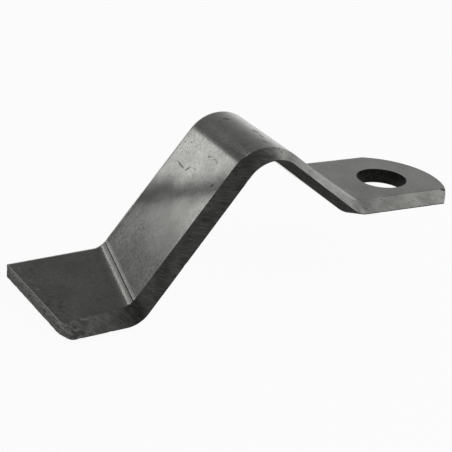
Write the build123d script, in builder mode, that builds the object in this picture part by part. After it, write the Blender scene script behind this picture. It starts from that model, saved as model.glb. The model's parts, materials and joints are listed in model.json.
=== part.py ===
# Hammer mill blade: a two by quarter inch flat bar with a cutting edge ground along one side,
# bent three times into a flat foot, a long leg, a short leg and a flat tab with a bolt hole.
#
# Frame: origin at the bolt hole's centre, halfway through the tab, +Z up through the hole,
# +X along the bar from the hole to the tab's round end, the cutting edge on the -Y side.
# Millimetres throughout.

import os
from math import cos, radians, sin, tan

from build123d import *

# Bar
WIDTH = 50.8                # cutting edge to plain edge
THICKNESS = 6.35
PLAIN_EDGE_ROUND = 1.6      # radius along both corners of the plain edge
FOOT_BEND_SPREAD = 1.6      # how far the upper face is squeezed out past the plain edge, beside
TOP_BEND_DRAW = 0.5         # the foot bend, and how far the top bend draws it in

# Cutting edge, ground from both faces to a narrow flat at mid thickness.
# The upper bevel's width changes along the bar, as the bends draw the face in.
EDGE_FLAT = 0.4
EDGE_SETBACK = 0.4          # how far grinding took the edge back from the bar's own side
LOWER_BEVEL = 9.2
BEVEL_FOOT_END = 7.2
BEVEL_FOOT_BEND = 8.6
BEVEL_LONG_LEG_TOP = 8.0
BEVEL_SHORT_LEG_TOP = 4.4
BEVEL_TAB = 7.5

# Lengths at mid thickness, between the lines where the flats would meet
LONG_LEG = 78.0
SHORT_LEG = 54.0
FOOT = 35.0                 # on the bar's centre line, foot bend to foot end
HOLE_TO_BEND = 26.4

# Bends: angle turned through, radius at mid thickness
FOOT_BEND, FOOT_RADIUS = 53.0, 10.4
TOP_BEND, TOP_RADIUS = 90.0, 13.2
TAB_BEND, TAB_RADIUS = 37.0, 10.0
FOOT_BEND_SKEW = -9.2       # the foot bend's line against square across the bar
BEND_STATIONS = 9           # cross-sections that each bend is lofted through

# Foot end
FOOT_END_SLANT = 7.5        # the sheared end against square across the bar
FOOT_PLAIN_CORNER = 0.8
FOOT_EDGE_CORNER = 3.0

# Tab
BORE = 20.6
BORE_EDGE = 0.4             # chamfer round both rims of the hole
TAB_END_RADIUS = 30.0
TAB_END_CENTRE = (-6.1, -3.5)
PAST_END = 12.0             # how far the bar runs on before its ends are cut to shape


def slid(frame, x=0.0, z=0.0):
    """The frame, moved along its own axes."""
    return Plane(frame.location * Location((x, 0, z)))


def turned(frame, y=0.0, z=0.0):
    """The frame, turned about its own y or z axis."""
    return Plane(frame.location * Rotation(0, y, z))


def across(frame):
    """Plane of a cross-section: its x runs to the plain edge, its y up through the bar."""
    return Plane(frame.origin, x_dir=frame.y_dir, z_dir=frame.x_dir)


def bar_section(plane, bevel, spread=0.0, skew=0.0, slip=0.0):
    """Cross-section of the bar. The bevel is measured from the bar's side before grinding, and
    spread from its plain edge. A skewed one is wider, and slip moves it along the bend's line."""
    wider = 1 / cos(radians(skew))
    side = -WIDTH / 2 * wider + slip
    edge = side + EDGE_SETBACK * wider
    plain = WIDTH / 2 * wider + slip
    with BuildSketch(plane) as section:
        with BuildLine():
            Polyline(
                (plain + spread * wider, THICKNESS / 2),
                (side + bevel * wider, THICKNESS / 2),
                (edge, EDGE_FLAT / 2),
                (edge, -EDGE_FLAT / 2),
                (side + LOWER_BEVEL * wider, -THICKNESS / 2),
                (plain, -THICKNESS / 2),
                close=True,
            )
        make_face()
        fillet(section.vertices().sort_by(Axis.X)[-2:], radius=PLAIN_EDGE_ROUND)
    return section.sketch


def bend_sections(frame, angle, radius, rise, bevels, spreads=(0.0, 0.0), skew=0.0):
    """Cross-sections round a bend. The frame has its origin where the flats would meet, and the
    axes of the flat before the bend; rise is 1 if the bar turns upwards and -1 if it turns down.
    The bevel and the spread go from their first value to their second round the bend."""
    line = turned(frame, z=skew)
    reach = radius * tan(radians(angle / 2))
    sections = []
    for station in range(BEND_STATIONS):
        share = station / (BEND_STATIONS - 1)
        sweep = radians(angle * share)
        place = slid(line, x=radius * sin(sweep) - reach, z=rise * radius * (1 - cos(sweep)))
        place = turned(place, y=-rise * angle * share)
        bevel = bevels[0] + (bevels[1] - bevels[0]) * share
        spread = spreads[0] + (spreads[1] - spreads[0]) * share
        slip = reach * tan(radians(skew)) * (1 - 2 * share)
        sections.append(bar_section(across(place), bevel, spread, skew, slip))
    return sections


def lofted(sections, ruled=False):
    """The piece of bar that runs through the cross-sections."""
    with BuildPart() as run:
        loft(sections=sections, ruled=ruled)
    return run.part


# Each flat's frame at mid thickness: x along the bar towards the tab, z up through it, and the
# origin where the flat would meet the next one
tab_frame = Plane((-HOLE_TO_BEND, 0, 0))
short_leg_frame = turned(tab_frame, y=TAB_BEND)
long_leg_frame = turned(slid(short_leg_frame, x=-SHORT_LEG), y=-TOP_BEND)
foot_line = turned(slid(long_leg_frame, x=-LONG_LEG), z=FOOT_BEND_SKEW)
foot_frame = turned(turned(foot_line, y=FOOT_BEND), z=-FOOT_BEND_SKEW)

foot_bend = bend_sections(
    foot_frame, FOOT_BEND, FOOT_RADIUS, 1,
    bevels=(BEVEL_FOOT_BEND, BEVEL_FOOT_BEND),
    spreads=(0, FOOT_BEND_SPREAD),
    skew=FOOT_BEND_SKEW,
)
top_bend = bend_sections(
    long_leg_frame, TOP_BEND, TOP_RADIUS, -1,
    bevels=(BEVEL_LONG_LEG_TOP, BEVEL_SHORT_LEG_TOP),
    spreads=(-TOP_BEND_DRAW, -TOP_BEND_DRAW),
)
tab_bend = bend_sections(
    short_leg_frame, TAB_BEND, TAB_RADIUS, 1, bevels=(BEVEL_TAB, BEVEL_TAB)
)


def foot():
    """Flat foot, with its slanting sheared end and rounded end corners."""
    end_section = bar_section(across(slid(foot_frame, x=-FOOT - PAST_END)), BEVEL_FOOT_END)
    end_lean = WIDTH / 2 * tan(radians(FOOT_END_SLANT))
    with BuildPart() as plate:
        loft(sections=[end_section, foot_bend[0]], ruled=True)
        with BuildSketch(foot_frame):
            with BuildLine():
                FilletPolyline(
                    (-FOOT + end_lean, -WIDTH / 2),
                    (FOOT, -WIDTH / 2),
                    (FOOT, WIDTH / 2),
                    (-FOOT - end_lean, WIDTH / 2),
                    radius=(FOOT_EDGE_CORNER, 0, 0, FOOT_PLAIN_CORNER),
                    close=True,
                )
            make_face()
        extrude(amount=THICKNESS, both=True, mode=Mode.INTERSECT)
    return plate.part


def tab():
    """Flat tab, with its round end and the bolt hole."""
    end_x = TAB_END_CENTRE[0] + TAB_END_RADIUS
    end_section = bar_section(across(slid(tab_frame, x=HOLE_TO_BEND + end_x + PAST_END)), BEVEL_TAB)
    with BuildPart() as plate:
        loft(sections=[tab_bend[-1], end_section], ruled=True)
        with BuildSketch() as past_end:
            with Locations(TAB_END_CENTRE):
                Rectangle(end_x + 2 * PAST_END, 2 * WIDTH, align=(Align.MIN, Align.CENTER))
                Circle(TAB_END_RADIUS, mode=Mode.SUBTRACT)
        extrude(amount=THICKNESS, both=True, mode=Mode.SUBTRACT)
        Hole(radius=BORE / 2)
        rims = plate.edges().filter_by(GeomType.CIRCLE).filter_by(
            lambda edge: abs(edge.radius - BORE / 2) < 0.01
        )
        chamfer(rims, length=BORE_EDGE)
    return plate.part


with BuildPart() as hammer_mill_blade:
    add(foot())
    add(lofted(foot_bend))
    add(lofted([foot_bend[-1], top_bend[0]], ruled=True))
    add(lofted(top_bend))
    add(lofted([top_bend[-1], tab_bend[0]], ruled=True))
    add(lofted(tab_bend))
    add(tab())

hammer_mill_blade.part.label = "hammer_mill_blade"
os.makedirs("parts", exist_ok=True)
export_step(hammer_mill_blade.part, "parts/hammer_mill_blade.step")
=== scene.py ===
"""Hammer mill blade: one bent steel bar with a ground cutting edge, on a white studio floor.

The bar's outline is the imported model's own, made again as a fine mesh so that its faces can be
slightly uneven, its edge nicked, its end roughly sheared and its surface laid out for its finish.
"""

import json
from math import ceil, cos, pi, radians, sin, tan

import bmesh
import bpy
import numpy as np
from mathutils import Matrix, Vector, noise


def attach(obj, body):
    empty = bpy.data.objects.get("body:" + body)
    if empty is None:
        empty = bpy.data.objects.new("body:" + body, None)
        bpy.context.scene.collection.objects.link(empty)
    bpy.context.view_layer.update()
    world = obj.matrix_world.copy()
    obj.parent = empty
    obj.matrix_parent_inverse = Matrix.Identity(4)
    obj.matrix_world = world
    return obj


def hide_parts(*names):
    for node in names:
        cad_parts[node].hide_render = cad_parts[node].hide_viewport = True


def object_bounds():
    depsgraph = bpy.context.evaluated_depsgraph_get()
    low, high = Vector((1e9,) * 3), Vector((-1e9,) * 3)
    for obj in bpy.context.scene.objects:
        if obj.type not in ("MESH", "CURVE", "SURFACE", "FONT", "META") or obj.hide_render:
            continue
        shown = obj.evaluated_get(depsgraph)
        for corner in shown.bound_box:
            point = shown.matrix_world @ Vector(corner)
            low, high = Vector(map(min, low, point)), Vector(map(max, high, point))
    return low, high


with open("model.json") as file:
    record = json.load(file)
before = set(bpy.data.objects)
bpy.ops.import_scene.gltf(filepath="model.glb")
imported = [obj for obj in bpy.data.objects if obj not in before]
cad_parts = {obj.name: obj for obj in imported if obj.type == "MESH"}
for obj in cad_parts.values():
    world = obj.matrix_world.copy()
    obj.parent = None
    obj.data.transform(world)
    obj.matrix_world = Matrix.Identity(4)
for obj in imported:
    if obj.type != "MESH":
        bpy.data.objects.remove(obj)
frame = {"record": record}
cad_low, cad_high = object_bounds()
mounts = {mount["name"]: mount for mount in frame["record"]["mounts"]}

MM = 0.001

# The bar's sizes, in millimetres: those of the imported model
WIDTH = 50.8
THICKNESS = (mounts["tab_top"]["pos_m"][2] - mounts["tab_underside"]["pos_m"][2]) / MM
PLAIN_EDGE_ROUND = 1.6
FOOT_BEND_SPREAD = 1.6
TOP_BEND_DRAW = 0.5
EDGE_FLAT = 0.4
EDGE_SETBACK = 0.4
LOWER_BEVEL = 9.2
BEVEL_FOOT_END = 7.2
BEVEL_FOOT_BEND = 8.6
BEVEL_LONG_LEG_TOP = 8.0
BEVEL_SHORT_LEG_TOP = 4.4
BEVEL_TAB = 7.5
LONG_LEG = 78.0
SHORT_LEG = 54.0
FOOT = 35.0
HOLE_TO_BEND = 26.4
FOOT_BEND, FOOT_RADIUS = 53.0, 10.4
TOP_BEND, TOP_RADIUS = 90.0, 13.2
TAB_BEND, TAB_RADIUS = 37.0, 10.0
FOOT_BEND_SKEW = -9.2
FOOT_END_SLANT = 7.5
FOOT_PLAIN_CORNER = 0.8
FOOT_EDGE_CORNER = 3.0
BORE = 2 * mounts["bolt_hole"]["dims"]["r_mm"]
BORE_EDGE = (THICKNESS - mounts["bolt_hole"]["dims"]["length_mm"]) / 2
TAB_END_RADIUS = 30.0
TAB_END_CENTRE = (-6.1, -3.5)
PAST_END = 12.0         # how far the bar runs on before its ends are cut to shape

# The mesh's fineness, in millimetres
GRAIN = 0.7             # along the bar
CUT_GRAIN = 0.4         # over the sheared end, the round end and the hole's wall
RIDGE_ROUND = 0.35      # where a bevel meets a face


def slid(place, x=0.0, z=0.0):
    """The place, moved along its own axes."""
    return place @ Matrix.Translation((x, 0, z))


def turned(place, y=0.0, z=0.0):
    """The place, turned about its own y or z axis."""
    return place @ Matrix.Rotation(radians(y), 4, "Y") @ Matrix.Rotation(radians(z), 4, "Z")


def rounded(before, corner, after, radius, steps):
    """Points of the arc that rounds a corner between two neighbours."""
    back, on = (before - corner).normalized(), (after - corner).normalized()
    half = back.angle(on) / 2
    reach = radius / tan(half)
    middle = corner + (back + on).normalized() * (radius / sin(half))
    start, end = corner + back * reach - middle, corner + on * reach - middle
    arc = [start.slerp(end, step / steps) for step in range(steps + 1)]
    return [middle + spoke.normalized() * radius for spoke in arc]


# The materials' numbers
FACE, BEVEL, UNDER_BEVEL, PLAIN, SHEARED, BORED = range(6)

# The section's corners, from the plain edge over the top and back underneath: each one's radius
# and arc steps, and the steps and the material of the straight stretch after it
STRETCHES = [
    (PLAIN_EDGE_ROUND, 6, 64, FACE),
    (RIDGE_ROUND, 3, 14, BEVEL),
    # the edge's flat takes the lower bevel's near-black finish: painted shade
    (0, 0, 1, UNDER_BEVEL),
    (0, 0, 16, UNDER_BEVEL),
    (RIDGE_ROUND, 3, 62, FACE),
    (PLAIN_EDGE_ROUND, 6, 6, PLAIN),
]


def section(place, bevel, spread=0.0, skew=0.0, slip=0.0):
    """Points round the bar's section at a place, with each one's run round the section."""
    wider = 1 / cos(radians(skew))
    side = -WIDTH / 2 * wider + slip
    edge = side + EDGE_SETBACK * wider
    plain = WIDTH / 2 * wider + slip
    corners = [Vector(corner) for corner in (
        (plain + spread * wider, THICKNESS / 2),
        (side + bevel * wider, THICKNESS / 2),
        (edge, EDGE_FLAT / 2),
        (edge, -EDGE_FLAT / 2),
        (side + LOWER_BEVEL * wider, -THICKNESS / 2),
        (plain, -THICKNESS / 2),
    )]
    arcs = []
    for index, (radius, steps, _, _) in enumerate(STRETCHES):
        corner, after = corners[index], corners[(index + 1) % len(corners)]
        arcs.append(rounded(corners[index - 1], corner, after, radius, steps) if steps else [corner])
    outline = []
    for index, (_, _, steps, _) in enumerate(STRETCHES):
        start, end = arcs[index][-1], arcs[(index + 1) % len(arcs)][0]
        outline += arcs[index] + [start.lerp(end, step / steps) for step in range(1, steps)]
    return np.array([place @ Vector((0, across, up)) for across, up in outline])


def stretch_materials():
    """The material of each step round the section."""
    kinds = []
    for index, (_, arc_steps, steps, kind) in enumerate(STRETCHES):
        before = STRETCHES[index - 1][3]
        kinds += [PLAIN if PLAIN in (before, kind) else kind] * arc_steps + [kind] * steps
    return kinds


def bend(place, angle, radius, rise, bevels, spreads=(0.0, 0.0), skew=0.0):
    """Sections round a bend, from a place where the flats would meet."""
    line = turned(place, z=skew)
    reach = radius * tan(radians(angle / 2))
    steps = ceil(radians(angle) * (radius + THICKNESS / 2) / GRAIN)
    sections = []
    for step in range(steps + 1):
        share = step / steps
        sweep = radians(angle * share)
        here = slid(line, x=radius * sin(sweep) - reach, z=rise * radius * (1 - cos(sweep)))
        here = turned(here, y=-rise * angle * share)
        bevel = bevels[0] + (bevels[1] - bevels[0]) * share
        spread = spreads[0] + (spreads[1] - spreads[0]) * share
        slip = reach * tan(radians(skew)) * (1 - 2 * share)
        sections.append(section(here, bevel, spread, skew, slip))
    return sections


def run_rows(keys):
    """The bar's rows of points: the key sections, with even rows between those far apart."""
    rows = [keys[0]]
    for before, after in zip(keys, keys[1:]):
        length = np.linalg.norm(after.mean(axis=0) - before.mean(axis=0))
        steps = max(1, round(length / GRAIN))
        rows += [before + (after - before) * step / steps for step in range(1, steps + 1)]
    return np.array(rows)


tab_place = Matrix.Translation((-HOLE_TO_BEND, 0, 0))
short_leg_place = turned(tab_place, y=TAB_BEND)
long_leg_place = turned(slid(short_leg_place, x=-SHORT_LEG), y=-TOP_BEND)
foot_line = turned(slid(long_leg_place, x=-LONG_LEG), z=FOOT_BEND_SKEW)
foot_place = turned(turned(foot_line, y=FOOT_BEND), z=-FOOT_BEND_SKEW)


def bar_rows():
    """The whole bar's rows of points, from past the foot's end to past the tab's."""
    tab_end_x = TAB_END_CENTRE[0] + TAB_END_RADIUS
    return run_rows(
        [section(slid(foot_place, x=-FOOT - PAST_END), BEVEL_FOOT_END)]
        + bend(
            foot_place, FOOT_BEND, FOOT_RADIUS, 1, (BEVEL_FOOT_BEND, BEVEL_FOOT_BEND),
            (0, FOOT_BEND_SPREAD), FOOT_BEND_SKEW,
        )
        + bend(
            long_leg_place, TOP_BEND, TOP_RADIUS, -1, (BEVEL_LONG_LEG_TOP, BEVEL_SHORT_LEG_TOP),
            (-TOP_BEND_DRAW, -TOP_BEND_DRAW),
        )
        + bend(short_leg_place, TAB_BEND, TAB_RADIUS, 1, (BEVEL_TAB, BEVEL_TAB))
        + [section(slid(tab_place, x=HOLE_TO_BEND + tab_end_x + PAST_END), BEVEL_TAB)]
    )


def along_bar(rows):
    """Each row's distance along the bar from the foot's end, at the middle of its section."""
    middles = rows.mean(axis=1)
    gaps = np.linalg.norm(np.diff(middles, axis=0), axis=1)
    return np.concatenate([[0], np.cumsum(gaps)]) - PAST_END


def round_bar(rows):
    """Each point's distance round the section from the plain edge's top corner."""
    around = np.concatenate([rows, rows[:, :1]], axis=1).mean(axis=0)
    gaps = np.linalg.norm(np.diff(around, axis=0), axis=1)
    return np.concatenate([[0], np.cumsum(gaps)])


def normals(grid):
    """Outward normals of a closed grid of points, rows along the bar and columns round it."""
    along = np.gradient(grid, axis=0)
    around = np.roll(grid, -1, axis=1) - np.roll(grid, 1, axis=1)
    out = np.cross(around, along)
    return out / np.linalg.norm(out, axis=2, keepdims=True)


def rough(x, y, size, seed=0.0):
    """Smooth noise from -1 to 1 with lumps of about a size."""
    return noise.noise(Vector((x / size, y / size, seed)))


# The size and the depth of the lumps on the rolled faces, and on the ground ones
WAVES = ((26.0, 0.045), (9.0, 0.018), (2.2, 0.008))
BEVEL_WAVES = ((7.0, 0.05), (1.6, 0.03))
NICKS = (                       # place along the cutting edge, half its length, depth
    (-1.5, 1.8, 0.3), (9.0, 0.9, 0.2), (22.5, 1.1, 0.25), (61.0, 0.9, 0.2), (97.0, 0.9, 0.15),
    (139.0, 1.0, 0.2), (171.0, 0.9, 0.2), (196.0, 0.9, 0.25), (207.5, 1.4, 0.45),
)
NICK_REACH = 3                  # columns of points that a nick takes in, each side of the edge
NICK_POWER = 0.7                # under 1, so that a nick is blunt


def worn(rows):
    """The bar's points, let in a little by rolling, grinding and nicks, and never raised."""
    along, around, kinds = along_bar(rows), round_bar(rows), stretch_materials()
    out = normals(rows)
    depth = np.zeros(rows.shape[:2])
    for column, kind in enumerate(kinds):
        for size, deep in BEVEL_WAVES if kind in (BEVEL, UNDER_BEVEL) else WAVES:
            lumps = [rough(x, around[column], size, size) for x in along]
            depth[:, column] += (0.5 + 0.5 * np.array(lumps)) * deep
    points = rows - out * depth[:, :, None]
    edge = sum(arc_steps + steps for _, arc_steps, steps, _ in STRETCHES[:2])
    inward = rows[:, 0] - rows[:, edge]
    inward /= np.linalg.norm(inward, axis=1, keepdims=True)
    for place, half, deep in NICKS:
        bite = np.clip(1 - np.abs(along - place) / half, 0, 1) ** NICK_POWER * deep
        for column in range(edge - NICK_REACH, edge + NICK_REACH + 2):
            share = 1 - min(abs(column - edge), abs(column - edge - 1)) / (NICK_REACH + 1)
            points[:, column] += inward * (bite * share)[:, None]
    return points


def make_mesh(name, points, faces, kinds, layout):
    """A mesh in metres with each face's material number and each corner's place on the bar."""
    mesh = bpy.data.meshes.new(name)
    mesh.from_pydata([tuple(point * MM) for point in points], [], faces)
    mesh.polygons.foreach_set("material_index", kinds)
    mesh.uv_layers.new(name="on_bar").uv.foreach_set("vector", np.array(layout, float).ravel())
    mesh.update()
    return mesh


def bar_mesh(rows):
    """The whole bar, past both its ends, with flat caps."""
    count, size = rows.shape[:2]
    along, around, kinds = along_bar(rows) * MM, round_bar(rows) * MM, stretch_materials()
    faces, marks, layout = [], [], []
    for row in range(count - 1):
        for column in range(size):
            after = (column + 1) % size
            faces.append((
                row * size + column, row * size + after,
                (row + 1) * size + after, (row + 1) * size + column,
            ))
            marks.append(kinds[column])
            near, far = around[column], around[column + 1]
            layout += [
                (along[row], near), (along[row], far), (along[row + 1], far), (along[row + 1], near)
            ]
    last = (count - 1) * size
    for cap in (tuple(range(size))[::-1], tuple(range(last, last + size))):
        faces.append(cap)
        marks.append(SHEARED)
        layout += [(0, 0)] * size
    return make_mesh("bar", rows.reshape(-1, 3), faces, marks, layout)


def evenly(path, grain):
    """Points spaced evenly along a path of straight runs."""
    path = np.array(path, float)
    runs = np.concatenate([[0], np.cumsum(np.linalg.norm(np.diff(path, axis=0), axis=1))])
    steps = np.linspace(0, runs[-1], ceil(runs[-1] / grain) + 1)
    return np.column_stack([np.interp(steps, runs, path[:, i]) for i in range(2)]), steps


LEAD = Vector((6, 3))           # from a corner of the foot's end to where its path starts, off the bar
SETTLE = 2.5                    # the length past the lead over which a cut starts to wander
OVERREACH = 2.0                 # how far a cutter stands out past the bar's faces
FOOT_WALL = 2 * PAST_END        # the walls' thickness, enough to clear the bar's ends
TAB_WALL = 2 * PAST_END + 2


def wall_cutter(name, place, path, thick, depth_at, kind):
    """A thick wall that trims what lies outside a path drawn on the bar's plan. The path runs
    anticlockwise about the part that stays; depth_at says how far the cut wanders into it."""
    line, runs = evenly(path, CUT_GRAIN)
    eases = np.clip((np.minimum(runs, runs[-1] - runs) - LEAD.length) / SETTLE, 0, 1)
    tangent = np.gradient(line, axis=0)
    outward = np.column_stack([tangent[:, 1], -tangent[:, 0]])
    outward /= np.linalg.norm(outward, axis=1, keepdims=True)
    reach = THICKNESS / 2 + OVERREACH
    heights = np.linspace(-reach, reach, ceil(2 * reach / CUT_GRAIN) + 1)
    inner, outer = [], []
    for (x, y), (nx, ny), run, ease in zip(line, outward, runs, eases):
        for z in heights:
            deep = depth_at(run, z) * ease
            inner.append(place @ Vector((x - nx * deep, y - ny * deep, z)))
            outer.append(place @ Vector((x + nx * thick, y + ny * thick, z)))
    tall, long = len(heights), len(line)
    far = tall * long
    points = np.array(inner + outer)
    faces, layout = [], []

    def add(*corners):
        faces.append(corners)
        for corner in corners:
            spot = corner % far
            layout.append((runs[spot // tall] * MM, heights[spot % tall] * MM))

    for i in range(long - 1):
        for j in range(tall - 1):
            a = i * tall + j
            add(a, a + 1, a + tall + 1, a + tall)
            add(far + a, far + a + tall, far + a + tall + 1, far + a + 1)
        for a, turn in ((i * tall, 1), (i * tall + tall - 1, -1)):
            add(*(a, a + tall, far + a + tall, far + a)[::turn])
    for j in range(tall - 1):
        for a, turn in ((j, 1), ((long - 1) * tall + j, -1)):
            add(*(a, far + a, far + a + 1, a + 1)[::turn])
    return make_mesh(name, points, faces, [kind] * len(faces), layout)


CORNER_STEPS = (4, 10)          # of the arcs at the foot's plain and cutting corners
TAB_END_TURNS = range(-62, 93)  # the degrees of the tab's round end that its cut follows


def foot_path():
    """The foot's end on its plan, from beyond the plain edge to beyond the cutting edge."""
    lean = WIDTH / 2 * tan(radians(FOOT_END_SLANT))
    plain, edge = Vector((-FOOT - lean, WIDTH / 2)), Vector((-FOOT + lean, -WIDTH / 2))
    path = rounded(Vector((0, WIDTH / 2)), plain, edge, FOOT_PLAIN_CORNER, CORNER_STEPS[0])
    path += rounded(plain, edge, Vector((0, -WIDTH / 2)), FOOT_EDGE_CORNER, CORNER_STEPS[1])
    return [path[0] + LEAD] + path + [path[-1] + LEAD * Vector((1, -1))]


def tab_path():
    """The tab's round end on its plan, from beyond the cutting edge to beyond the plain edge."""
    middle = Vector(TAB_END_CENTRE)
    turns = [radians(angle) for angle in TAB_END_TURNS]
    return [middle + Vector((cos(turn), sin(turn))) * TAB_END_RADIUS for turn in turns]


SHEAR_DEPTH = 1.7               # how far down the blade cut cleanly before the foot's end tore
SHEAR_SWAY = 0.3                # how far that line strays, up or down
# How far each cut stands back from its outline, and how far that strays
SMOOTH_CUT, SMOOTH_SWAY = 0.03, 0.03
TORN_CUT, TORN_SWAY = 0.22, 0.12
ROUND_CUT, ROUND_SWAY, ROUND_GRAIN = 0.06, 0.04, 0.02
UPRIGHT = 0.1                   # draws the round end's marks out tenfold through the thickness
BORE_SWAY = 0.02                # the hole's wall stands back by this, and strays as far
BORE_LUMPS = 12                 # for each radian round the hole


def sheared(run, z):
    """How far the foot's end stands back: smooth under the top edge, torn below."""
    if z > THICKNESS / 2 - SHEAR_DEPTH + SHEAR_SWAY * rough(run, 0, 4.0, seed=7.0):
        return SMOOTH_CUT + SMOOTH_SWAY * rough(run, z, 1.2, seed=3.0)
    torn = rough(run, z, 2.4, seed=1.0) + 0.6 * rough(run, z, 0.9, seed=2.0)
    return TORN_CUT + TORN_SWAY * torn


def trimmed(run, z):
    """How far the tab's round end stands back: faint upright tool marks."""
    marks = rough(run, z * UPRIGHT, 0.9, seed=4.0)
    return ROUND_CUT + ROUND_SWAY * marks + ROUND_GRAIN * rough(run, z, 0.8, seed=5.0)


def bore_cutter():
    """The bolt hole, flared at both rims."""
    radius, lip, past = BORE / 2, THICKNESS / 2, OVERREACH
    flare = radius + BORE_EDGE
    straight = np.linspace(-lip + BORE_EDGE, lip - BORE_EDGE, ceil(THICKNESS / CUT_GRAIN))
    profile = [(-lip - past, flare + past), (-lip, flare)] + [(z, radius) for z in straight]
    profile += [(lip, flare), (lip + past, flare + past)]
    steps = ceil(2 * pi * radius / CUT_GRAIN)
    points, faces, layout = [], [], []
    for z, ring in profile:
        for step in range(steps):
            turn = 2 * pi * step / steps
            lumps = rough(cos(turn) * BORE_LUMPS, sin(turn) * BORE_LUMPS, 1.0, seed=6.0)
            out = ring + BORE_SWAY * (1 + lumps)
            points.append(Vector((out * cos(turn), out * sin(turn), z)))
    for level in range(len(profile) - 1):
        low, high = profile[level][0] * MM, profile[level + 1][0] * MM
        for step in range(steps):
            a, b = level * steps + step, level * steps + (step + 1) % steps
            faces.append((a, b, b + steps, a + steps))
            left, right = (2 * pi * radius * (step + k) / steps * MM for k in (0, 1))
            layout += [(left, low), (right, low), (right, high), (left, high)]
    top = (len(profile) - 1) * steps
    faces += [tuple(range(steps))[::-1], tuple(range(top, top + steps))]
    layout += [(0, 0)] * (2 * steps)
    return make_mesh("bore_cutter", points, faces, [BORED] * len(faces), layout)


def new_object(name, data):
    piece = bpy.data.objects.new(name, data)
    bpy.context.scene.collection.objects.link(piece)
    return piece


SLIVER = 1e-6                   # edges shorter than this, in metres, are closed up after the cuts
SHARP_ANGLE = 38                # faces that meet at more degrees than this keep a sharp edge


def close_slivers(mesh):
    """Take out the triangles of no area that a cut can leave."""
    work = bmesh.new()
    work.from_mesh(mesh)
    bmesh.ops.dissolve_degenerate(work, dist=SLIVER, edges=work.edges[:])
    work.to_mesh(mesh)
    work.free()


def cut_blade(materials):
    """The finished blade: the worn bar less its ends and its hole."""
    bar = new_object("blade", bar_mesh(worn(bar_rows())))
    cutters = [
        wall_cutter("foot_cutter", foot_place, foot_path(), FOOT_WALL, sheared, SHEARED),
        wall_cutter("tab_cutter", Matrix(), tab_path(), TAB_WALL, trimmed, PLAIN),
        bore_cutter(),
    ]
    for mesh in [bar.data] + cutters:
        for material in materials:
            mesh.materials.append(material)
    for cutter in [new_object(mesh.name, mesh) for mesh in cutters]:
        cut = bar.modifiers.new(cutter.name, "BOOLEAN")
        cut.operation, cut.solver, cut.object = "DIFFERENCE", "EXACT", cutter
        finished = bpy.data.meshes.new_from_object(
            bar.evaluated_get(bpy.context.evaluated_depsgraph_get())
        )
        bar.modifiers.clear()
        bar.data = finished
        bpy.data.objects.remove(cutter)
    close_slivers(bar.data)
    bar.data.shade_smooth()
    bar.data.set_sharp_from_angle(angle=radians(SHARP_ANGLE))
    return bar


def add_node(tree, kind, inputs=None, **settings):
    """A new node, with its inputs set or linked."""
    node = tree.nodes.new(kind)
    for key, value in settings.items():
        setattr(node, key, value)
    for key, value in (inputs or {}).items():
        if isinstance(value, bpy.types.NodeSocket):
            tree.links.new(value, node.inputs[key])
        else:
            node.inputs[key].default_value = value
    return node


def add_math(tree, operation, *terms):
    """The result of a new arithmetic node."""
    return add_node(tree, "ShaderNodeMath", dict(enumerate(terms)), operation=operation).outputs[0]


def course(tree, value, stops, smooth=False):
    """A grey that changes with a value through its stops."""
    ramp = add_node(tree, "ShaderNodeValToRGB", {0: value})
    ramp.color_ramp.interpolation = "B_SPLINE" if smooth else "LINEAR"
    elements = ramp.color_ramp.elements
    while len(elements) < len(stops):
        elements.new(1.0)
    for element, (place, grey) in zip(elements, stops):
        element.position = place
        element.color = (grey, grey, grey, 1)
    return ramp.outputs[0]


TINT = (1.0, 1.0, 0.955)        # the steel's grey has a trace of olive
NOISE = (0.3, 0.7)              # nearly all of a noise lies between these
MARK_FADE = (1.25, 0.55)        # where a mark starts, and is full, in halves of its size


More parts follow.
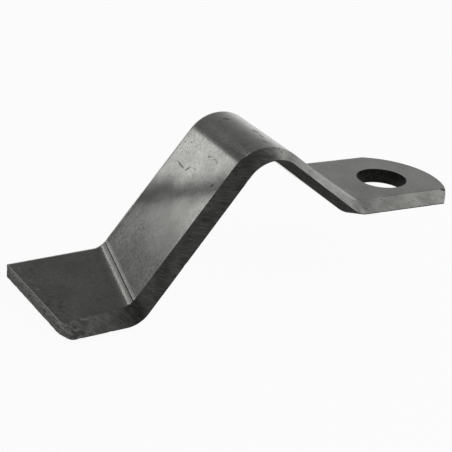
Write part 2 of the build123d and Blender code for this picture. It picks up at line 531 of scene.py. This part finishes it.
class Finish:
    """One metal finish: its shader, and short ways to lay out the nodes that drive it. Lengths
    are millimetres, and a place on the bar is (along it, round it)."""

    def __init__(self, name, metallic=1.0):
        self.material = bpy.data.materials.new(name)
        self.material.use_nodes = True
        self.tree = self.material.node_tree
        self.shader = self.tree.nodes["Principled BSDF"]
        self.shader.inputs["Metallic"].default_value = metallic
        self.bar = self.in_mm(self.node("ShaderNodeUVMap", uv_map="on_bar").outputs["UV"])
        self.solid = self.in_mm(self.node("ShaderNodeTexCoord").outputs["Object"])
        parts = self.node("ShaderNodeSeparateXYZ", {0: self.bar})
        self.along, self.round = parts.outputs[0], parts.outputs[1]

    def node(self, kind, inputs=None, **settings):
        return add_node(self.tree, kind, inputs, **settings)

    def vector(self, operation, *terms):
        node = self.node("ShaderNodeVectorMath", dict(enumerate(terms)), operation=operation)
        return node.outputs["Value" if operation == "LENGTH" else "Vector"]

    def in_mm(self, place):
        return self.vector("MULTIPLY", place, (1 / MM, 1 / MM, 1 / MM))

    def math(self, operation, *terms):
        return add_math(self.tree, operation, *terms)

    def times(self, *factors):
        """The product, which for masks is where they overlap."""
        product = factors[0]
        for factor in factors[1:]:
            product = self.math("MULTIPLY", product, factor)
        return product

    def either(self, *masks):
        """The strongest of some masks."""
        most = masks[0]
        for mask in masks[1:]:
            most = self.math("MAXIMUM", most, mask)
        return most

    def relief(self, *layers):
        """The sum of layers of (noise or mask, height), where a negative height is a hollow."""
        total = 0.0
        for mask, height in layers:
            total = self.math("MULTIPLY_ADD", mask, height, total)
        return total

    def ramp(self, value, low, high, start=0.0, end=1.0):
        """A smooth change from start to end as the value goes from low to high."""
        inputs = {0: value, 1: low, 2: high, 3: start, 4: end}
        return self.node("ShaderNodeMapRange", inputs, interpolation_type="SMOOTHSTEP").outputs[0]

    def vary(self, lumps, start, end):
        """A change from start to end over the whole range of a noise."""
        return self.ramp(lumps, *NOISE, start, end)

    def band(self, value, low, high, soft):
        """One between two values, and nothing past a soft margin outside them."""
        return self.times(self.ramp(value, low - soft, low), self.ramp(value, high + soft, high))

    def mix(self, share, without, with_it):
        """One value where a mask is 0, going over to another where it is 1."""
        inputs = {0: share, 2: without, 3: with_it}
        return self.node("ShaderNodeMix", inputs, data_type="FLOAT").outputs[0]

    def lumps(self, size, detail=2.0, at=None):
        """Noise with lumps of a size."""
        inputs = {"Vector": at or self.solid, "Scale": 1 / size, "Detail": detail}
        return self.node("ShaderNodeTexNoise", inputs).outputs[0]

    def laid(self, place=(0.0, 0.0), angle=0.0, size=(1.0, 1.0), at=None):
        """Coordinates from a place on the bar, turned, and counted in lengths and widths."""
        inputs = {
            "Vector": at or self.bar, "Location": (*place, 0),
            "Rotation": (0, 0, radians(angle)), "Scale": (*size, 1),
        }
        return self.node("ShaderNodeMapping", inputs, vector_type="TEXTURE").outputs[0]

    def lines(self, angle, long, fine, detail=2.0):
        """Noise drawn out into lines at an angle to the bar."""
        return self.lumps(1.0, detail, self.laid(angle=angle, size=(long, fine)))

    def ragged(self, size=1.6, reach=1.4):
        """The bar's coordinates, shaken so that what is drawn on them has an uneven edge."""
        inputs = {"Vector": self.bar, "Scale": 1 / size, "Detail": 3.0}
        shake = self.node("ShaderNodeTexNoise", inputs).outputs[1]
        centred = self.vector("SUBTRACT", shake, (0.5, 0.5, 0.5))
        return self.vector("MULTIPLY_ADD", centred, (reach, reach, 0), self.bar)

    def spots(self, marks, at):
        """Marks on the bar: each one's place, length, width, angle and strength."""
        masks = []
        for place, long, wide, angle, strength in marks:
            away = self.vector("LENGTH", self.laid(place, angle, (long / 2, wide / 2), at))
            masks.append(self.ramp(away, *MARK_FADE, 0.0, strength))
        return self.either(*masks)

    def pits(self, gap, size, share):
        """Small pits: the gap between them, their size as a part of it, and how many are left."""
        cells = self.node("ShaderNodeTexVoronoi", {"Vector": self.solid, "Scale": 1 / gap})
        pick = self.node("ShaderNodeSeparateColor", {0: cells.outputs["Color"]}).outputs[0]
        kept = self.ramp(pick, share + 0.02, share - 0.02)
        return self.times(self.ramp(cells.outputs["Distance"], size, size / 2), kept)

    def finished(self, grey, roughness, height):
        """The material, from its grey, its roughness and its relief."""
        shades = {index: self.times(grey, tint) for index, tint in enumerate(TINT)}
        colour = self.node("ShaderNodeCombineColor", shades).outputs[0]
        bump = self.node("ShaderNodeBump", {"Height": height, "Distance": MM}).outputs[0]
        for name, value in (("Base Color", colour), ("Roughness", roughness), ("Normal", bump)):
            self.tree.links.new(value, self.shader.inputs[name])
        return self.material


# Marks on the upper face: place, length, width, angle to the bar, strength
DARK_MARKS = (
    ((109.8, 10.7), 3.4, 1.0, 60, 0.75), ((114.1, 26.0), 4.2, 1.1, 75, 0.85),
    ((113.6, 31.1), 2.6, 0.9, 80, 0.7), ((112.1, 38.2), 2.8, 1.0, 60, 0.6),
    ((85.2, 12.5), 7.5, 0.8, 95, 0.40), ((85.9, 18.4), 3.4, 0.8, 45, 0.45),
    ((87.6, 21.5), 5.0, 0.6, 80, 0.18), ((95.3, 26.3), 2.4, 1.0, 70, 0.18),
    ((95.6, 31.5), 5.0, 1.0, 95, 0.16), ((88.0, 39.5), 1.6, 1.2, 0, 0.45),
    ((46.5, 9.5), 2.4, 1.0, 60, 0.2), ((58.0, 16.0), 3.0, 1.0, 40, 0.15),
)
BRIGHT_MARKS = (
    ((1.6, 21.6), 1.3, 0.8, 30, 0.9), ((-0.8, 5.8), 2.0, 0.6, 70, 0.6),
    ((0.8, 15.0), 1.0, 0.7, 0, 0.5), ((43.7, 40.2), 1.0, 0.9, 0, 0.3),
    ((45.3, 43.0), 1.2, 0.6, 0, 0.3), ((24.0, 41.5), 3.0, 0.4, 10, 0.35),
)
SCABS = (((3.5, 15.0), 9.0, 26.0, 0, 0.8), ((4.5, 34.0), 10.0, 22.0, 0, 1.0))

# Places on the upper face: how far along the bar, or round it, a patch starts and ends
FOOT_SCALE = (34.5, 29.5)       # where the foot's scale starts, and is full
LONG_LEG_FACE = (38.0, 103.0)
FACE_LIMIT = 50.0               # what is further round the bar is its underside
SPECKLED_ALONG, SPECKLED_ROUND = (92.0, 99.0), (24.0, 12.0)
WORN_LINE_ALONG, WORN_LINE_ROUND = (38.0, 56.0), (3.7, 4.2)

# The press tool's print in the foot bend: a strip, partly burnished and painted lighter as a highlight
# of the bend, a groove darkened as painted shade in the crease, and a light rim, with a strip of
# painted shade beside it
PRINT_HIGHLIGHT_STRIP = (33.9, 36.5)
PRINT_GROOVE_SHADE = (36.7, 37.3)
PRINT_RIM = (37.4, 37.6)
PAINTED_SHADE_BESIDE_RIM = (38.0, 38.8)
# the strip's grey, lighter as a painted highlight
PRINT_HIGHLIGHT_GREY = 0.56

# A slanting band painted into the long leg's grey: painted reflection of the lamps, dark across its
# middle and lighter beyond it
REFLECTION_BAND_LEAN = 0.62               # how far the painted reflection band moves along the bar for each mm round it
REFLECTION_BAND_WANDER = 1.6              # how far its edges stray, either way
REFLECTION_BAND_SPAN = 100.0              # the length that its places are parts of
REFLECTION_BAND_STOPS = (                       # place along the bar, and how much of the grey is left
    (0.30, 0.58), (0.42, 0.62), (0.52, 0.69), (0.575, 0.44),
    (0.605, 0.19), (0.645, 0.17), (0.685, 0.46), (0.74, 0.84),
)


def painted_reflection_band(finish):
    """How light the long leg is along a soft, slanting band of painted reflection."""
    wander = finish.vary(finish.lumps(12.0, 3.0), -REFLECTION_BAND_WANDER, REFLECTION_BAND_WANDER)
    place = finish.math("MULTIPLY_ADD", finish.round, -REFLECTION_BAND_LEAN, finish.along)
    place = finish.math("ADD", place, wander)
    return course(finish.tree, finish.math("DIVIDE", place, REFLECTION_BAND_SPAN), REFLECTION_BAND_STOPS, smooth=True)


def worn_line(finish):
    """A dark, broken line beside the long leg's far edge."""
    return finish.times(
        finish.band(finish.round, *WORN_LINE_ROUND, 0.5),
        finish.band(finish.along, *WORN_LINE_ALONG, 8.0),
        finish.ramp(finish.lines(0.0, 4.0, 1.0), 0.40, 0.52),
    )


def rolled_face():
    """Rolled and oiled steel: satin on the legs and the tab, dull scale on the foot, a painted
    reflection across the long leg, and painted highlight and shade at the foot bend's print.
    """
    finish = Finish("rolled_face")
    along, ragged = finish.along, finish.ragged()
    fleck, scale = finish.lumps(1.2, 4.0), finish.lumps(0.9, 5.0)
    top = finish.ramp(finish.round, FACE_LIMIT + 1.0, FACE_LIMIT)
    foot = finish.ramp(along, *FOOT_SCALE)
    leg = finish.times(finish.band(along, *LONG_LEG_FACE, 3.0), top)
    speckled = finish.times(
        finish.band(along, *SPECKLED_ALONG, 3.0), finish.ramp(finish.round, *SPECKLED_ROUND)
    )
    scattered = finish.ramp(finish.lumps(7.0), 0.58, 0.70)
    pits = finish.times(finish.pits(0.8, 0.36, 0.26), finish.either(scattered, speckled))
    dark = finish.times(finish.spots(DARK_MARKS, ragged), top)
    hollows = finish.either(finish.times(pits, 0.45), dark)
    bright = finish.times(finish.spots(BRIGHT_MARKS, ragged), top)
    drawn = finish.ramp(finish.lines(4.0, 14.0, 0.16), 0.62, 0.74)
    flaked = finish.ramp(finish.lumps(1.8, 5.0), 0.46, 0.62)
    scabs = finish.times(finish.spots(SCABS, ragged), top, flaked)
    # The print's strip is painted light as a highlight of the bend; its groove and the strip beside
    # its rim are painted dark as shade
    print_highlight_strip = finish.times(finish.band(along, *PRINT_HIGHLIGHT_STRIP, 0.2), top)
    groove_shade = finish.times(finish.band(along, *PRINT_GROOVE_SHADE, 0.2), top)
    rim = finish.times(finish.band(along, *PRINT_RIM, 0.12), top)
    painted_shade_beside_rim = finish.times(finish.band(along, *PAINTED_SHADE_BESIDE_RIM, 0.7), top)

    grey = finish.times(
        finish.vary(finish.lumps(11.0, 3.0), 0.30, 0.37),
        finish.vary(fleck, 0.94, 1.06),
        # the long leg's grey carries the painted reflection band
        finish.mix(leg, 1.0, painted_reflection_band(finish)),
        finish.mix(foot, 1.0, finish.vary(scale, 0.58, 0.74)),
    )
    # mask, strength, grey: the print's strip brings a painted highlight, its groove and the strip
    # beside its rim painted shade
    for mask, strength, shade in (
        (hollows, 1.0, 0.05), (drawn, 0.12, 0.55), (worn_line(finish), 0.7, 0.08),
        (scabs, 0.5, 0.07), (painted_shade_beside_rim, 0.45, 0.05), (print_highlight_strip, 1.0, PRINT_HIGHLIGHT_GREY),
        (groove_shade, 0.75, 0.06), (finish.either(finish.times(rim, 0.4), bright), 0.8, 0.6),
    ):
        grey = finish.mix(finish.times(mask, strength), grey, shade)
    roughness = finish.mix(foot, finish.vary(fleck, 0.17, 0.27), 0.42)
    roughness = finish.mix(finish.either(hollows, scabs), roughness, 0.6)
    roughness = finish.mix(print_highlight_strip, roughness, 0.3)
    height = finish.relief(
        (fleck, 0.005), (hollows, -0.03), (groove_shade, -0.05), (finish.times(foot, scale), 0.03),
        (scabs, -0.03),
    )
    return finish.finished(grey, roughness, finish.mix(print_highlight_strip, height, 0.0))


GRIND_ANGLE = 58.0              # the grinding marks' slant to the bar
TORN_CORNER = (24.0, 8.0)       # where along the bar the foot's torn corner starts, and is full
BAR_END = 212.0                 # past the tab's end
# Painted shade and light: the ground bevel's grey is darker along the foot and the long leg and
# lighter past the top bend, as its facing turns to or from the lamps
PAINTED_BEVEL_SHADING = (                      # place along the bar, and the ground bevel's grey there
    (0.0, 0.20), (22.0, 0.17), (32.0, 0.11), (44.0, 0.18), (98.0, 0.19), (110.0, 0.22),
    (117.0, 0.38), (160.0, 0.40), (164.0, 0.32), (212.0, 0.38),
)
BEVEL_MARKS = (((205.6, 44.6), 2.8, 1.1, 15, 0.85), ((134.5, 47.8), 1.5, 0.8, 0, 0.5))


def ground_bevel():
    """Ground steel with slanting marks: painted dark as shade along most of the edge and lighter past
    the top bend, torn at the foot's corner.
    """
    finish = Finish("ground_bevel")
    coarse = finish.lines(GRIND_ANGLE, 6.0, 0.42, 3.0)
    fine = finish.lines(GRIND_ANGLE + 3.0, 3.0, 0.14)
    corner = finish.ramp(finish.along, *TORN_CORNER)
    torn = finish.times(finish.ramp(finish.lumps(2.4, 4.0), 0.47, 0.56), corner)
    pits = finish.either(
        finish.times(finish.pits(1.3, 0.4, 0.15), 0.5), finish.spots(BEVEL_MARKS, finish.ragged())
    )
    # the grey's course along the bar is painted shade and light
    painted_bevel_shading = [(place / BAR_END, grey) for place, grey in PAINTED_BEVEL_SHADING]
    grey = finish.times(
        course(finish.tree, finish.math("DIVIDE", finish.along, BAR_END), painted_bevel_shading),
        finish.vary(coarse, 0.80, 1.20), finish.vary(fine, 0.88, 1.12),
        finish.vary(finish.lumps(6.0, 3.0), 0.8, 1.2),
    )
    grey = finish.mix(pits, grey, 0.04)
    grey = finish.mix(finish.times(torn, 0.6), grey, 0.06)
    roughness = finish.mix(finish.either(torn, pits), finish.vary(coarse, 0.30, 0.48), 0.75)
    height = finish.relief((coarse, 0.05), (fine, 0.02), (torn, -0.04), (pits, -0.01))
    return finish.finished(grey, roughness, height)


def painted_shade_under_bevel():
    """The lower bevel and the edge's flat: ground, and near black as painted shade."""
    finish = Finish("painted_shade_under_bevel", metallic=0.0)
    finish.shader.inputs["Specular IOR Level"].default_value = 0.15
    finish.shader.inputs["IOR"].default_value = 1.25
    coarse = finish.lines(GRIND_ANGLE, 6.0, 0.5, 3.0)
    # near black: painted shade
    grey = finish.times(
        finish.vary(coarse, 0.036, 0.058), finish.vary(finish.lumps(5.0, 4.0), 0.75, 1.25)
    )
    return finish.finished(grey, finish.vary(coarse, 0.7, 0.85), finish.times(coarse, 0.04))


# Places round the bar on the rolled edge, and above mid thickness on the cut ends
RUBBED = (1.9, 3.0)             # the bright top of the rolled edge and of the tab's end
LEDGE = (1.95, 2.1)             # where the foot's shear began to tear, at its highest
LEDGE_SWAY = 1.2                # how far down from there it strays
LIP = (2.4, 2.9)                # where the foot's burnished lip starts, and is full


def plain_edge():
    """The rolled edge and the tab's cut end: dull, faintly blotched, and rubbed bright at the top."""
    finish = Finish("plain_edge")
    blotch = finish.ramp(finish.lumps(2.2, 4.0), 0.50, 0.66)
    drawn = finish.lines(0.0, 12.0, 0.25)
    rubbed = finish.band(finish.round, *RUBBED, 0.8)
    grey = finish.times(finish.vary(drawn, 0.22, 0.32), finish.mix(blotch, 1.0, 0.72))
    grey = finish.mix(rubbed, grey, finish.mix(blotch, 0.60, 0.42))
    height = finish.relief((drawn, 0.02), (finish.lumps(0.9, 4.0), 0.03))
    return finish.finished(grey, finish.mix(blotch, 0.30, 0.42), height)


def sheared_end():
    """The foot's sheared end: burnished under its top edge, torn, flaked and dark below."""
    finish = Finish("sheared_end")
    torn, flake = finish.lumps(1.1, 5.0), finish.lines(55.0, 1.8, 0.5, 3.0)
    lip = finish.ramp(finish.round, *LIP)
    sway = finish.math("MULTIPLY_ADD", finish.lumps(5.0), LEDGE_SWAY, finish.round)
    ledge = finish.times(finish.band(sway, *LEDGE, 0.22), finish.ramp(torn, 0.42, 0.52))
    grey = finish.times(finish.ramp(torn, 0.35, 0.65, 0.02, 0.12), finish.vary(flake, 0.5, 1.55))
    grey = finish.mix(finish.times(finish.either(lip, ledge), 0.5), grey, 0.42)
    height = finish.relief((torn, 0.2), (flake, 0.12))
    return finish.finished(grey, finish.vary(torn, 0.45, 0.65), height)


def painted_shade_bore_wall():
    """The punched hole's wall: near black as painted shade, with upright marks."""
    finish = Finish("painted_shade_bore_wall")
    upright = finish.lines(90.0, 5.0, 0.4, 3.0)
    # near black: painted shade inside the hole
    grey = finish.times(finish.vary(upright, 0.008, 0.022), finish.vary(finish.lumps(2.0), 0.7, 1.3))
    return finish.finished(grey, finish.vary(upright, 0.45, 0.6), finish.times(upright, 0.06))


# In the order of the material numbers above
blade = cut_blade([
    rolled_face(), ground_bevel(), painted_shade_under_bevel(), plain_edge(), sheared_end(), painted_shade_bore_wall(),
])
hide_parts("hammer_mill_blade")
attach(blade, "root")

# Camera, in metres and degrees
AIM = Vector((-0.0728, 0.0, -0.0096))
DISTANCE = 0.4281
HEADING = 28.19         # the view's direction over the floor, from +Y towards +X
DIP = 24.15             # below the horizon
ROLL = 4.68             # the right side up
LENS, SENSOR = 85.11, 36.0      # the focal length and the frame's width, in millimetres


def add_camera():
    camera = new_object("camera", bpy.data.cameras.new("camera"))
    camera.data.sensor_width = SENSOR
    camera.data.lens = LENS
    camera.data.clip_start = 0.01
    turn = (
        Matrix.Rotation(radians(-HEADING), 3, "Z")
        @ Matrix.Rotation(radians(90 - DIP), 3, "X")
        @ Matrix.Rotation(radians(ROLL), 3, "Z")
    )
    camera.matrix_world = Matrix.Translation(AIM + turn @ Vector((0, 0, DISTANCE))) @ turn.to_4x4()
    bpy.context.scene.camera = camera


FLOOR_SIZE = 6.0
FLOOR_GAP = 0.0002      # below the blade
FLOOR_SHADE = 0.92
FLOOR_GLOW = 0.94       # how much of the floor is plain white where it is seen or mirrored


def add_floor():
    """A white floor that keeps a faint shadow, and that can be looked through from below."""
    z = cad_low.z - FLOOR_GAP
    corners = [
        (x * FLOOR_SIZE, y * FLOOR_SIZE, z) for x, y in ((-1, -1), (1, -1), (1, 1), (-1, 1))
    ]
    mesh = bpy.data.meshes.new("floor")
    mesh.from_pydata(corners, [], [(0, 1, 2, 3)])
    material = bpy.data.materials.new("floor_white")
    material.use_nodes = True
    tree = material.node_tree
    tree.nodes.clear()
    shade = {"Color": (FLOOR_SHADE, FLOOR_SHADE, FLOOR_SHADE, 1)}
    diffuse = add_node(tree, "ShaderNodeBsdfDiffuse", shade).outputs[0]
    glow = add_node(tree, "ShaderNodeEmission", {"Strength": 1.0}).outputs[0]
    clear = add_node(tree, "ShaderNodeBsdfTransparent").outputs[0]
    path = add_node(tree, "ShaderNodeLightPath").outputs
    seen = path["Is Camera Ray"]
    for ray in ("Is Glossy Ray", "Is Transmission Ray"):
        seen = add_math(tree, "MAXIMUM", seen, path[ray])
    share = add_math(tree, "MULTIPLY", seen, FLOOR_GLOW)
    upper = add_node(tree, "ShaderNodeMixShader", {0: share, 1: diffuse, 2: glow}).outputs[0]
    below = add_node(tree, "ShaderNodeNewGeometry").outputs["Backfacing"]
    both = add_node(tree, "ShaderNodeMixShader", {0: below, 1: upper, 2: clear}).outputs[0]
    add_node(tree, "ShaderNodeOutputMaterial", {"Surface": both})
    mesh.materials.append(material)
    new_object("floor", mesh)


DOME = ((0.08, 1.0), (0.20, 0.62), (0.36, 0.38), (0.60, 0.20))      # height, brightness
DOME_HEADING = 40.0             # the bright side, from +Y towards +X
DOME_TURN = (0.1, 0.7)          # cosines of the turn from there: dim below the first
DOME_DIM = 0.5                  # the other side's brightness against the bright side's


def add_world():
    """A studio dome: bright and low to the back and right, dimmer above and to the left. The
    camera itself sees it white."""
    world = bpy.data.worlds.new("studio")
    bpy.context.scene.world = world
    world.use_nodes = True
    tree = world.node_tree
    tree.nodes.clear()
    way = add_node(tree, "ShaderNodeTexCoord").outputs["Generated"]
    height = add_node(tree, "ShaderNodeSeparateXYZ", {0: way}).outputs["Z"]
    bright = (sin(radians(DOME_HEADING)), cos(radians(DOME_HEADING)), 0)
    turn = add_node(tree, "ShaderNodeVectorMath", {0: way, 1: bright}, operation="DOT_PRODUCT")
    limits = {0: turn.outputs["Value"], 1: DOME_TURN[0], 2: DOME_TURN[1], 3: DOME_DIM, 4: 1.0}
    side = add_node(tree, "ShaderNodeMapRange", limits, interpolation_type="SMOOTHSTEP").outputs[0]
    light = {"Color": course(tree, height, DOME), "Strength": side}
    back = add_node(tree, "ShaderNodeBackground", light).outputs[0]
    white = add_node(tree, "ShaderNodeBackground", {"Color": (1, 1, 1, 1)}).outputs[0]
    seen = add_node(tree, "ShaderNodeLightPath").outputs["Is Camera Ray"]
    both = add_node(tree, "ShaderNodeMixShader", {0: seen, 1: back, 2: white}).outputs[0]
    add_node(tree, "ShaderNodeOutputWorld", {"Surface": both})


LAMP_DISTANCE = 1.2
# Name, heading from +Y towards +X, height in degrees, size in metres, brightness
LAMPS = (
    ("front", 158, 44, (1.5, 1.5), 1.2),
    ("back_left", -32.5, 20, (0.31, 0.20), 1.9),
    ("above_bend", -18, 42, (0.25, 0.07), 3.0),
    ("right", 70, 42, (0.35, 0.35), 1.4),
)


def add_lamp(name, heading, rise, size, strength):
    """A softbox that faces the blade's middle, as bright as its strength whatever its size."""
    lamp = bpy.data.lights.new(name, "AREA")
    lamp.shape = "RECTANGLE"
    lamp.size, lamp.size_y = size
    lamp.energy = strength * pi * size[0] * size[1]
    holder = new_object(name, lamp)
    turn, lift = radians(heading), radians(rise)
    away = Vector((sin(turn) * cos(lift), cos(turn) * cos(lift), sin(lift)))
    holder.location = AIM + away * LAMP_DISTANCE
    holder.rotation_euler = (-away).to_track_quat("-Z", "Y").to_euler()
    holder.visible_camera = False


bpy.context.scene.view_settings.view_transform = "Standard"
add_camera()
add_floor()
add_world()
for lamp in LAMPS:
    add_lamp(*lamp)
